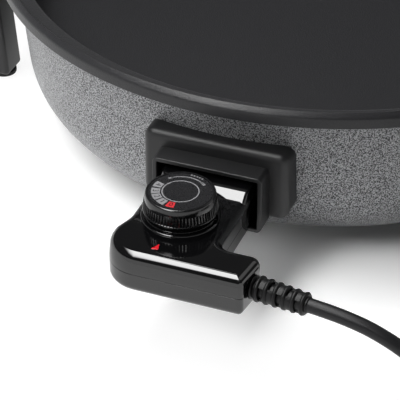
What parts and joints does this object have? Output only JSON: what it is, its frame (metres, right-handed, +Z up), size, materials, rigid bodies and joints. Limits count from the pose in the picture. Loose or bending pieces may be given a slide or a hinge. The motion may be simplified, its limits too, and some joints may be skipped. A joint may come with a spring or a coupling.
{
  "type": "electric skillet",
  "caption": "Round cast electric frying pan on footed side handles, heated by an element under its floor, with a plug-in thermostat control, dial knob and mains cord.",
  "frame": {"origin": "middle of the bounding box without the cord, on the table under the foot pads", "axes": "+Z up, -Y towards the thermostat control, +X to the right seen from the control's side"},
  "size_m": [0.5332, 0.4854, 0.1121],
  "materials": {
    "cast_aluminium": "hammered grey outside, dark non-stick inside and on the rim",
    "element_steel": "oxidised tube",
    "plated_steel": "zinc plated",
    "probe_steel": "drawn",
    "ceramic": "fired, stands in for ceramic",
    "black_phenolic": "moulded, satin",
    "black_gloss": "moulded, gloss",
    "contact_moulding": "moulded",
    "brass": "stamped",
    "red_lens": "clear red",
    "lamp_glass": "clear",
    "lead_sleeve": "woven sleeve",
    "cord_rubber": "matt",
    "rubber": "matt",
    "knob_plastic": "moulded, satin",
    "dial_plastic": "satin with pale print",
    "tie_plastic": "moulded"
  },
  "bodies": {
    "pan_body": {"pan_wall": "cast_aluminium", "pan_floor": "cast_aluminium", "element_seat": "cast_aluminium", "heating_element": "element_steel", "terminal_pins": "plated_steel", "terminal_insulators": "ceramic", "earth_pin": "plated_steel", "socket_plate": "black_phenolic", "socket_housing": "black_phenolic", "socket_screws": "plated_steel", "left_handle": "black_phenolic", "right_handle": "black_phenolic", "handle_screws": "plated_steel", "foot_pads": "rubber"},
    "control": {"control_upper_shell": "black_gloss", "control_lower_shell": "black_gloss", "shell_screws": "plated_steel", "temperature_probe": "probe_steel", "contact_block": "contact_moulding", "contact_tubes": "brass", "thermostat_frame": "plated_steel", "fixed_contact": "brass", "moving_contact": "brass", "insulator_stack": "ceramic", "pilot_lens": "red_lens", "pilot_lamp": "lamp_glass", "inner_leads": "lead_sleeve", "cord_end": "cord_rubber", "cord_clamp": "contact_moulding", "clamp_screws": "plated_steel", "strain_relief": "cord_rubber", "cord": "cord_rubber", "cord_coil": "cord_rubber", "cord_tie": "tie_plastic", "plug_body": "cord_rubber", "plug_pins": "plated_steel", "plug_earth_clips": "plated_steel"},
    "dial": {"knob": "knob_plastic", "dial_plate": "dial_plastic", "knob_spindle": "probe_steel"}
  },
  "joints": [
    {"name": "control_slide", "type": "slide", "parent": "pan_body", "child": "control", "axis": [0, -1, 0], "range_m": [0, 0.094]},
    {"name": "dial_turn", "type": "hinge", "parent": "control", "child": "dial", "pos_m": [-0.0019, -0.19828, 0.0641], "axis": [0, 0, 1], "range_deg": [0, 250]}
  ]
}
